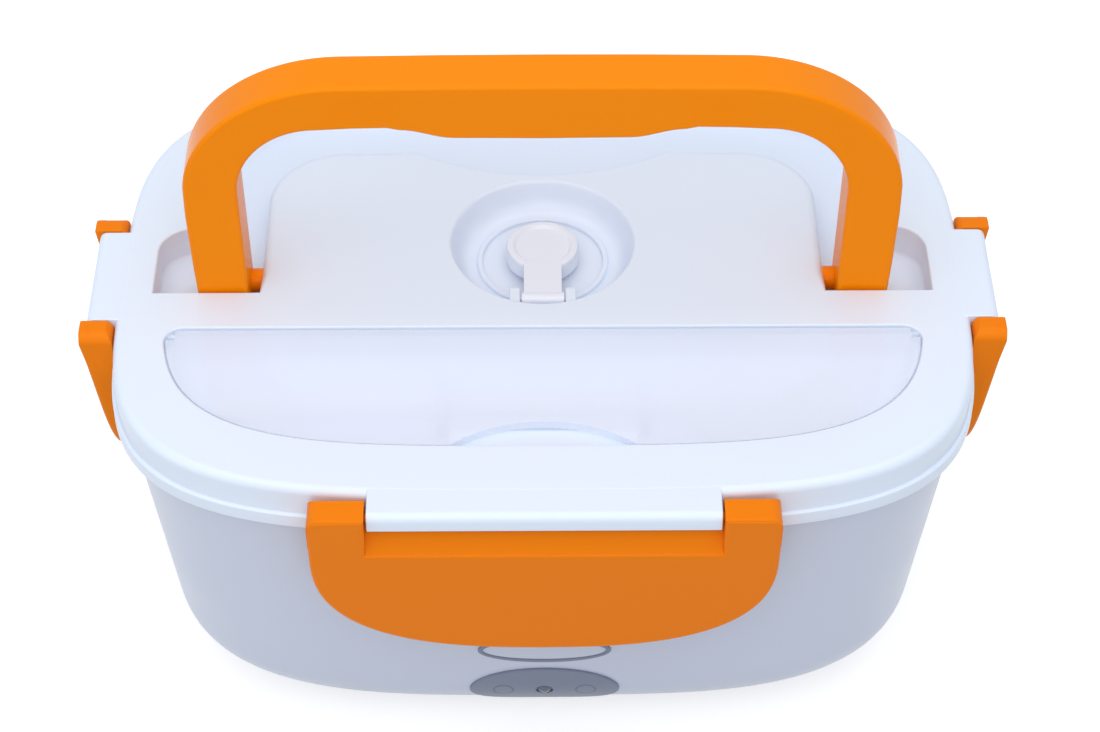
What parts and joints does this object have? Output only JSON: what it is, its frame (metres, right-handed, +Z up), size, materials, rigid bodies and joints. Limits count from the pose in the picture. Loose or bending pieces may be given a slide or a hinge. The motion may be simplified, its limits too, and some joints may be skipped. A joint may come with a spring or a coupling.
{
  "type": "electric lunch box",
  "caption": "White electric lunch box with orange carry handle and four orange snap clips, steam vent, clear cutlery cover, heated chamber and inner food container",
  "frame": {"origin": "Centre of the footprint on the table, under the middle of the body", "axes": "+X to the right seen from the front, +Y towards the back, +Z up"},
  "size_m": [0.242, 0.1798, 0.1736],
  "materials": {
    "white_plastic": "satin gloss",
    "orange_plastic": "gloss",
    "clear_plastic": "clear gloss",
    "container_plastic": "satin",
    "grey_film": "satin",
    "black_plastic": "matte",
    "liner_metal": "satin",
    "steel": "brushed",
    "brass_pin": "plain",
    "silicone": "matte",
    "foot_rubber": "matte",
    "fibre_pad": "woven",
    "red_lens": "gloss",
    "board_green": "matte",
    "wire_sleeve": "matte"
  },
  "bodies": {
    "base": {"outer_shell": "white_plastic", "bottom_cover": "white_plastic", "foot_pads": "foot_rubber", "bottom_screws": "steel", "chamber_liner": "liner_metal", "heater_plate": "liner_metal", "heating_element": "steel", "heater_clamp": "steel", "clamp_screws": "steel", "thermostat": "black_plastic", "thermal_fuse": "brass_pin", "insulation_pad": "fibre_pad", "power_inlet": "black_plastic", "inlet_pins": "brass_pin", "inlet_screws": "steel", "lead_wires": "wire_sleeve", "indicator_panel": "grey_film", "indicator_board": "board_green", "indicator_light": "red_lens"},
    "lid": {"lid_shell": "white_plastic", "lid_inner": "white_plastic", "lid_gasket": "silicone", "spoon": "clear_plastic"},
    "handle": {"handle": "orange_plastic"},
    "vent_cap": {"vent_cap": "white_plastic"},
    "cutlery_cover": {"cutlery_cover": "clear_plastic"},
    "clip_front": {"clip_front": "orange_plastic"},
    "clip_back": {"clip_back": "orange_plastic"},
    "clip_left": {"clip_left": "orange_plastic"},
    "clip_right": {"clip_right": "orange_plastic"},
    "container": {"food_container": "container_plastic"},
    "side_box": {"side_dish_box": "container_plastic"},
    "side_box_lid": {"side_dish_lid": "clear_plastic"},
    "inlet_cover": {"inlet_cover": "white_plastic"}
  },
  "joints": [
    {"name": "lid_lift", "type": "slide", "parent": "base", "child": "lid", "axis": [0, 0, 1], "range_m": [0, 0.036]},
    {"name": "container_lift", "type": "slide", "parent": "base", "child": "container", "axis": [0, 0, 1], "range_m": [0, 0.018]},
    {"name": "side_box_lift", "type": "slide", "parent": "container", "child": "side_box", "axis": [0, 0, 1], "range_m": [0, 0.0072]},
    {"name": "side_box_lid_lift", "type": "slide", "parent": "side_box", "child": "side_box_lid", "axis": [0, 0, 1], "range_m": [0, 0.0054]},
    {"name": "handle_fold", "type": "hinge", "parent": "lid", "child": "handle", "pos_m": [0, 0.003, 0.1012], "axis": [-1, 0, 0], "range_deg": [0, 90]},
    {"name": "cutlery_cover_hinge", "type": "hinge", "parent": "lid", "child": "cutlery_cover", "pos_m": [0, -0.0226, 0.1045], "axis": [-1, 0, 0], "range_deg": [0, 95]},
    {"name": "vent_cap_hinge", "type": "hinge", "parent": "lid", "child": "vent_cap", "pos_m": [0, -0.0072, 0.1032], "axis": [1, 0, 0], "range_deg": [0, 80]},
    {"name": "clip_front_hinge", "type": "hinge", "parent": "lid", "child": "clip_front", "pos_m": [0, -0.0848, 0.1025], "axis": [-1, 0, 0], "range_deg": [0, 95]},
    {"name": "clip_back_hinge", "type": "hinge", "parent": "lid", "child": "clip_back", "pos_m": [0, 0.0848, 0.1025], "axis": [1, 0, 0], "range_deg": [0, 95]},
    {"name": "clip_right_hinge", "type": "hinge", "parent": "lid", "child": "clip_right", "pos_m": [0.1159, 0, 0.1025], "axis": [0, -1, 0], "range_deg": [0, 95]},
    {"name": "clip_left_hinge", "type": "hinge", "parent": "lid", "child": "clip_left", "pos_m": [-0.1159, 0, 0.1025], "axis": [0, 1, 0], "range_deg": [0, 95]},
    {"name": "inlet_cover_hinge", "type": "hinge", "parent": "base", "child": "inlet_cover", "pos_m": [0, 0.07749, 0.0307], "axis": [1, 0, 0], "range_deg": [0, 150]}
  ],
  "couplings": [
    {"joint": "container_lift", "follows": "lid_lift", "ratio": 0.5},
    {"joint": "side_box_lift", "follows": "lid_lift", "ratio": 0.2},
    {"joint": "side_box_lid_lift", "follows": "lid_lift", "ratio": 0.15},
    {"joint": "clip_front_hinge", "follows": "lid_lift", "rad_per_m": 46},
    {"joint": "clip_back_hinge", "follows": "lid_lift", "rad_per_m": 46},
    {"joint": "clip_right_hinge", "follows": "lid_lift", "rad_per_m": 46},
    {"joint": "clip_left_hinge", "follows": "lid_lift", "rad_per_m": 46}
  ]
}
